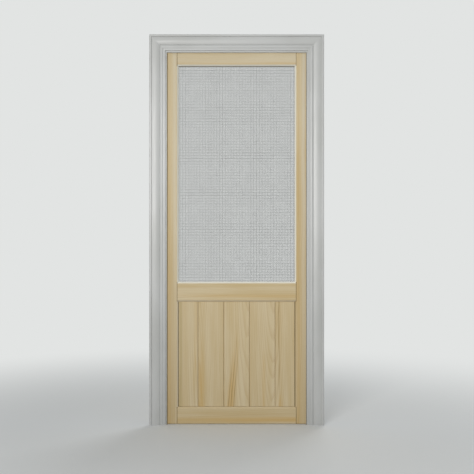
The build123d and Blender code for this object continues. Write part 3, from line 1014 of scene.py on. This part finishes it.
@dataclass
class DoorLeaf:
    """The pine leaf: stiles, rails, boards, the screen and its beads.

    Args:
        bevel: the width of the moulded edge round the screen and the panel.
        worn: how much paler the bevels round the panel and under the mid rail are painted, as fresh
            wood and painted highlight, from 0 to 1.
        root: half the width of the painted shade line between the panel and a stile.
        deep_root: the same where the joint is wider, at the lock stile.
        joint: the width of the painted shade line in the narrow V between rails and stiles.
        hairline: half the width of the painted shade lines where flush pieces meet at the back.
        butt: how far inside a stile's edge such a line lies.
    """

    bevel: float = 0.0075
    worn: float = 0.4
    root: float = 0.001
    deep_root: float = 0.0018
    joint: float = 0.0018
    hairline: float = 0.0005
    butt: float = 0.0002

    def marks(self, node: str) -> tuple[tuple[Bevel, ...], tuple[Seam, ...]]:
        """Work out the pale bevels and the painted shade lines in the joints of a stile or a rail.

        Args:
            node: the piece's node.

        Returns:
            The bevels and the seams.
        """
        if node == "bottom_rail":
            return (), ()
        low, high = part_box(node)
        # The rails' bevels are painted paler: fresh wood with a painted highlight, also on the mid
        # rail's downward slope.
        if node == "top_rail":
            return (Bevel(low.z + self.bevel, low.z),), ()
        if node == "mid_rail":
            head = Bevel(high.z - self.bevel, high.z)
            return (head, Bevel(low.z + self.bevel, low.z, amount=self.worn)), ()
        hinge = node == "stile_hinge"
        side, edge = (-1.0, high.x) if hinge else (1.0, low.x)
        shoulder = edge + side * self.bevel
        rails = [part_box(rail) for rail in ("bottom_rail", "mid_rail", "top_rail")]
        spans = [(rail[0].z, rail[1].z) for rail in rails]
        panel = (spans[0][1], spans[1][0])
        # The stile's bevels are painted paler in the same way.
        bevels = (Bevel(shoulder, edge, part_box("screen_bead_left")[0].z),)
        if hinge:
            bevels += (Bevel(shoulder, edge, panel[0], self.worn),)
        # Painted shade lines: beside the panel, in the V joints and where flush pieces meet.
        joint, butt = shoulder - side * self.joint / 2, edge + side * self.butt
        seams = [Seam(edge + side * self.root, self.root if hinge else self.deep_root, *panel)]
        seams += [Seam(joint, self.joint, *span) for span in spans]
        seams += [Seam(butt, self.hairline, *span, behind=True) for span in spans]
        return bevels, tuple(seams)

    def members(self) -> list[PineFinish]:
        """Describe the pine of the stiles and rails."""
        upright, level = Grain.UPRIGHT, Grain.LEVEL
        members = []
        for index, (node, grain, heart, drift, lift) in enumerate((
            ("stile_hinge", upright, (0.09, 0.05), 0.01, 0.7),
            ("stile_lock", upright, (-0.1, 0.06), 0.012, 0.4),
            ("top_rail", level, (0.09, 0.06), 0.03, 0.9),
            ("mid_rail", level, (-0.11, 0.07), 0.03, 0.2),
            ("bottom_rail", level, (0.1, 0.06), -0.03, 0.0),
        )):
            bevels, seams = self.marks(node)
            members.append(PineFinish(
                node, grain, heart, drift, ring=0.0055, seed=1.0 + index, lift=lift,
                streaks=STREAKS[node], bevels=bevels, seams=seams,
            ))
        return members

    def boards(self) -> list[PineFinish]:
        """Describe the pine of the panel's boards, from the left."""
        logs = (
            ((0.07, 0.06), 0.02), ((-0.08, 0.05), -0.03), ((0.055, 0.1), 0.03),
            ((0.055, 0.09), 0.05), ((-0.06, 0.07), 0.03),
        )
        nodes = [f"panel_board_{index + 1}" for index in range(len(logs))]
        left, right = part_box("stile_hinge")[1].x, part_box("stile_lock")[0].x
        # Painted shade lines beside the stiles and along the boards' edges.
        ends = tuple(Seam(x, self.root) for x in (left + self.root / 2, right - self.root / 2))
        edges = [Seam(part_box(node)[0].x, self.hairline, behind=True) for node in nodes[1:]]
        boards = []
        for index, (node, (heart, drift)) in enumerate(zip(nodes, logs)):
            seams = (*ends, *edges[max(index - 1, 0):index + 1])
            boards.append(PineFinish(
                node, Grain.UPRIGHT, heart, drift, ring=0.006, seed=6.0 + index,
                streaks=STREAKS[node], seams=seams,
            ))
        return boards

    def beads(self) -> list[PineFinish]:
        """Describe the pine of the screen's beads."""
        beads = []
        for index, side in enumerate(("left", "right", "top", "bottom")):
            node = f"screen_bead_{side}"
            grain = Grain.UPRIGHT if side in ("left", "right") else Grain.LEVEL
            low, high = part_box(node)
            edge = {"left": low.x, "right": high.x, "top": high.z, "bottom": low.z}[side]
            # A painted shade line along the bead's edge.
            seams = (Seam(edge, self.hairline, behind=True),)
            beads.append(PineFinish(
                node, grain, heart=(0.05, 0.04), drift=0.01, ring=0.004, seed=12.0 + index,
                lift=0.3, seams=seams,
            ))
        return beads

    def build(self) -> None:
        """Dress the wood and hang the screen."""
        for wood in self.members() + self.boards() + self.beads():
            dress(wood.node, wood.build())
            log.info("dressed %s", wood.node)
        dress("bead_brads", PlatedSteelFinish("brad_steel", roughness=0.35).build())
        cloth = ScreenCloth().build()
        log.info("wove %s with %d faces", cloth.name, len(cloth.data.polygons))


@dataclass
class DoorFrame:
    """The painted frame: jambs, stops, moulded casing and the nails under the paint.

    Args:
        gap_shade_reach: how far the painted shade goes onto the upright stops, from their inner
            edges.
    """

    gap_shade_reach: float = 0.0022

    SIDES = ("jamb_left", "jamb_right", "casing_left", "casing_right")
    NAILS = ("casing_nails", "stop_nails")
    HEADS = ("jamb_head", "stop_head", "casing_head")
    STOPS = ("stop_left", "stop_right")

    def build(self) -> None:
        """Paint every piece along its length."""
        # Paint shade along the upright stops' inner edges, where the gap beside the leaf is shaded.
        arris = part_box("stop_right")[0].x + self.gap_shade_reach
        for nodes, paint in (
            (self.SIDES + self.NAILS, PaintFinish("white_paint_upright").build()),
            (self.HEADS, PaintFinish("white_paint_level", Grain.LEVEL).build()),
            (self.STOPS, PaintFinish("white_paint_stops", arris=arris).build()),
        ):
            for node in nodes:
                dress(node, paint)
                log.info("painted %s", node)


@dataclass
class Ironmongery:
    """Hinge plates, their pins and the screws.

    Args:
        head: a screw head's radius.
        head_edge: the bevel round its rim.
        shank: the shank's radius.
        recess: half the width of the cross recess.
        leaf_screw: the length of a screw in the leaf.
        frame_screw: the length of a screw in the jamb.
        corner_screw: the length of a screw between two jambs.
        corner_spacing: the distance between a corner's two screws.
        insets: from the leaf's back to each screw of a plate, from the bottom.
        margin: from a plate's end to its first screw.
        hinge_height: the height of a hinge.
        pin: a hinge pin's radius.
        dome: its head, as radius and depth below the top.
        pin_head_height: the head's height.
        pin_end: how far it reaches below the hinge.
        pin_bevel: the bevel round its end, inward and upward.
    """

    head: float = 0.0039
    head_edge: float = 0.0001
    shank: float = 0.0021
    recess: float = 0.0022
    leaf_screw: float = 0.025
    frame_screw: float = 0.015
    corner_screw: float = 0.045
    corner_spacing: float = 0.022
    insets: tuple[float, ...] = (0.008, 0.014, 0.008)
    margin: float = 0.014
    hinge_height: float = 0.089
    pin: float = 0.003
    dome: Outline = (
        (0.0, 0.0), (0.0016, 0.0001), (0.003, 0.0005), (0.0041, 0.0013), (0.0046, 0.0023),
    )
    pin_head_height: float = 0.003
    pin_end: float = 0.0025
    pin_bevel: tuple[float, float] = (0.0009, 0.001)

    def screw(self, name: str, length: float) -> TurnedShape:
        """Describe a countersunk screw with a cross recess.

        Args:
            name: the shape's name.
            length: from the head's top to the tip.

        Returns:
            The screw's shape.
        """
        outline = (
            (0.0, 0.0),
            (self.head - self.head_edge, 0.0),
            (self.head, -self.head_edge),
            (self.shank, self.shank - self.head),
            (self.shank, 2 * self.shank - length),
            (0.0, -length),
        )
        return TurnedShape(name, outline, self.recess)

    def hinge_middles(self) -> list[float]:
        """Find each hinge's middle height, from the bottom up, in the leaf plates' box."""
        low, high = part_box("hinge_leaf_plates")
        bottom = low.z + self.hinge_height / 2
        top = high.z - self.hinge_height / 2
        return [bottom, (bottom + top) / 2, top]

    def screw_spots(self, x: float) -> list[Point]:
        """Place the screws of one kind of plate, in the plates' shallow zigzag.

        Args:
            x: where the plates' faces are.

        Returns:
            Where the screws' heads are.
        """
        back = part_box("stile_hinge")[1].y
        reach = self.hinge_height / 2 - self.margin
        rows = list(zip(self.insets, (-reach, 0.0, reach)))
        return [(x, back - inset, z + rise) for z in self.hinge_middles() for inset, rise in rows]

    def hinge_screws(self) -> list[TurnedSet]:
        """Place the screws that hold the plates to the leaf and to the jamb."""
        leaf_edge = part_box("stile_hinge")[0].x
        jamb_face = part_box("jamb_left")[1].x
        sets = []
        for body, x, outward, length in (
            ("leaf", leaf_edge, -1.0, self.leaf_screw),
            ("frame", jamb_face, 1.0, self.frame_screw),
        ):
            spots = self.screw_spots(x)
            ways = [(outward, 0.0, 0.0)] * len(spots)
            name = f"{body}_plate_screws"
            shape = self.screw(f"{name}_pattern", length)
            sets.append(TurnedSet(name, f"{body}_hinge_screws", body, shape, spots, ways, seed=7))
        return sets

    def corner_screws(self) -> TurnedSet:
        """Place the screws that hold the side jambs to the head jamb."""
        low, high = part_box("jamb_screws")
        _, centre, rise = (low + high) / 2
        rows = (centre - self.corner_spacing / 2, centre + self.corner_spacing / 2)
        spots = [(x, y, rise) for x in (low.x, high.x) for y in rows]
        ways = [(math.copysign(1.0, spot[0]), 0.0, 0.0) for spot in spots]
        shape = self.screw("corner_pattern", self.corner_screw)
        return TurnedSet("corner_screws", "jamb_screws", "frame", shape, spots, ways, seed=9)

    def pins(self) -> TurnedSet:
        """Place a pin in each hinge."""
        inward, upward = self.pin_bevel
        foot = -self.hinge_height - self.pin_end
        outline = tuple((radius, self.pin_head_height - drop) for radius, drop in self.dome)
        outline += ((self.dome[-1][0], 0.0), (self.pin, 0.0))
        outline += ((self.pin, foot + upward), (self.pin - inward, foot), (0.0, foot))
        x, y, _ = middle("hinge_pins")
        spots = [(x, y, z + self.hinge_height / 2) for z in self.hinge_middles()]
        ways = [(0.0, 0.0, 1.0)] * len(spots)
        shape = TurnedShape("pin_pattern", outline, sides=32)
        return TurnedSet("turned_pins", "hinge_pins", "frame", shape, spots, ways, seed=3)

    def build(self) -> None:
        """Plate the steel and set its screws and pins."""
        zinc = PlatedSteelFinish("zinc_plate").build()
        bright = PlatedSteelFinish("screw_steel", (206, 206, 204), (176, 175, 170), 0.24).build()
        for node in ("hinge_frame_plates", "hinge_leaf_plates"):
            dress(node, zinc)
        for screws in (*self.hinge_screws(), self.corner_screws()):
            screws.build(bright)
        self.pins().build(zinc)


@dataclass(frozen=True)
class Lamp:
    """A square soft lamp.

    Args:
        name: its name.
        place: where it hangs.
        target: where it points.
        size: the length of its side.
        power: its power in watts.
        colour: its light's colour.
        spread: how far round its light goes, in degrees.
    """

    name: str
    place: Point
    target: Point
    size: float
    power: float
    colour: Point = (1.0, 1.0, 1.0)
    spread: float = 180.0

    def hang(self) -> None:
        """Put the lamp into the scene."""
        data = bpy.data.lights.new(self.name, "AREA")
        data.size = self.size
        data.energy = self.power
        data.color = self.colour
        data.spread = math.radians(self.spread)
        lamp = placed(self.name, data)
        lamp.location = self.place
        way = Vector(self.target) - Vector(self.place)
        lamp.rotation_euler = way.to_track_quat("-Z", "Y").to_euler()


@dataclass
class Studio:
    """The pale floor, the lamps and the camera.

    Args:
        distance: from the camera to the casing's front.
        height: the camera's height.
        aside: the camera's place to the right of the door's middle.
        lens: the lens's length in millimetres.
        pale: the floor's and the background's colour.
        dim: the floor's colour for the light that it throws back onto the door.
        radius: the floor's radius.
        fade: from where to where the floor turns into the background.
        even: how strong the even light is on the object.
        sky: the even light's colour.
        lamps: the lamps.
    """

    distance: float = 4.3
    height: float = 1.0187
    aside: float = 0.0019
    lens: float = 60.46
    pale: Colour = (226, 228, 227)
    dim: Colour = (140, 138, 134)
    radius: float = 40.0
    fade: tuple[float, float] = (0.9, 3.2)
    even: float = 0.42
    sky: Point = (0.96, 0.98, 1.0)
    lamps: tuple[Lamp, ...] = (
        Lamp(
            "key", place=(-1.1, -4.2, 1.8), target=(0.4, 0.0, 1.33), size=1.6, power=26.5,
            colour=(1.0, 0.985, 0.96), spread=86.0,
        ),
        Lamp("back_fill", place=(1.6, 3.4, 3.0), target=(0.0, 0.0, 1.0), size=2.4, power=60.0),
    )

    def camera(self) -> None:
        """Set a level camera before the casing, as the photograph has it."""
        data = bpy.data.cameras.new("camera")
        data.lens = self.lens
        data.sensor_width = CAMERA_SENSOR
        camera = placed("camera", data)
        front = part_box("casing_left")[0].y
        camera.location = (self.aside, front - self.distance, self.height)
        camera.rotation_euler = (math.pi / 2, 0.0, 0.0)
        bpy.context.scene.camera = camera

    def floor(self) -> None:
        """Lay a pale round floor that fades into the background."""
        mesh = bpy.data.meshes.new("floor")
        body = bmesh.new()
        bmesh.ops.create_circle(body, cap_ends=True, segments=96, radius=self.radius)
        body.to_mesh(mesh)
        body.free()
        floor = placed("floor", mesh)
        recipe = Recipe("pale_floor")
        length = recipe.node("ShaderNodeVectorMath", {0: recipe.vector}, operation="LENGTH")
        seen = recipe.node("ShaderNodeLightPath").outputs["Is Camera Ray"]
        fade = recipe.product(recipe.spread(length.outputs["Value"], *self.fade), seen)
        tint = recipe.blend(seen, self.dim, self.pale)
        plain = recipe.node("ShaderNodeBsdfDiffuse", {"Color": tint}).outputs[0]
        glow = recipe.node("ShaderNodeEmission", {"Color": shown(self.pale), "Strength": 1.0})
        mixed = recipe.node("ShaderNodeMixShader", {0: fade, 1: plain, 2: glow.outputs[0]})
        recipe.node("ShaderNodeOutputMaterial", {"Surface": mixed.outputs[0]})
        mesh.materials.append(recipe.material)
        floor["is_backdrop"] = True

    def world(self) -> None:
        """Surround the door with even light, and show the pale background."""
        world = bpy.data.worlds.new("studio")
        world.use_nodes = True
        tree = Tree(world.node_tree)
        path = tree.node("ShaderNodeLightPath").outputs
        seen = tree.maths("MAXIMUM", path["Is Camera Ray"], path["Is Glossy Ray"])
        seen = tree.maths("MAXIMUM", seen, path["Is Transmission Ray"])
        light = {"Color": (*self.sky, 1.0), "Strength": self.even}
        even = tree.node("ShaderNodeBackground", light).outputs[0]
        back = tree.node("ShaderNodeBackground", {"Color": shown(self.pale)}).outputs[0]
        mixed = tree.node("ShaderNodeMixShader", {0: seen, 1: even, 2: back}).outputs[0]
        tree.node("ShaderNodeOutputWorld", {0: mixed})
        bpy.context.scene.world = world

    def build(self) -> None:
        """Set up the floor, the light and the camera."""
        self.floor()
        self.world()
        for lamp in self.lamps:
            lamp.hang()
        self.camera()
        bpy.context.scene.view_settings.view_transform = "Standard"


def corners(box: tuple[Vector, Vector]) -> list[list[float]]:
    """Write a box as two plain lists of numbers.

    Args:
        box: its low and its high corner.

    Returns:
        The two corners.
    """
    return [[round(part, 5) for part in corner] for corner in box]


def main() -> None:
    """Build every sub-assembly in order and work out the two boxes' sizes."""
    logging.basicConfig(level=logging.INFO, format="%(message)s")
    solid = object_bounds()
    DoorLeaf().build()
    DoorFrame().build()
    Ironmongery().build()
    Studio().build()
    {"cad": corners(solid), "visual": corners(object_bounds())}


if __name__ == "__main__":
    main()
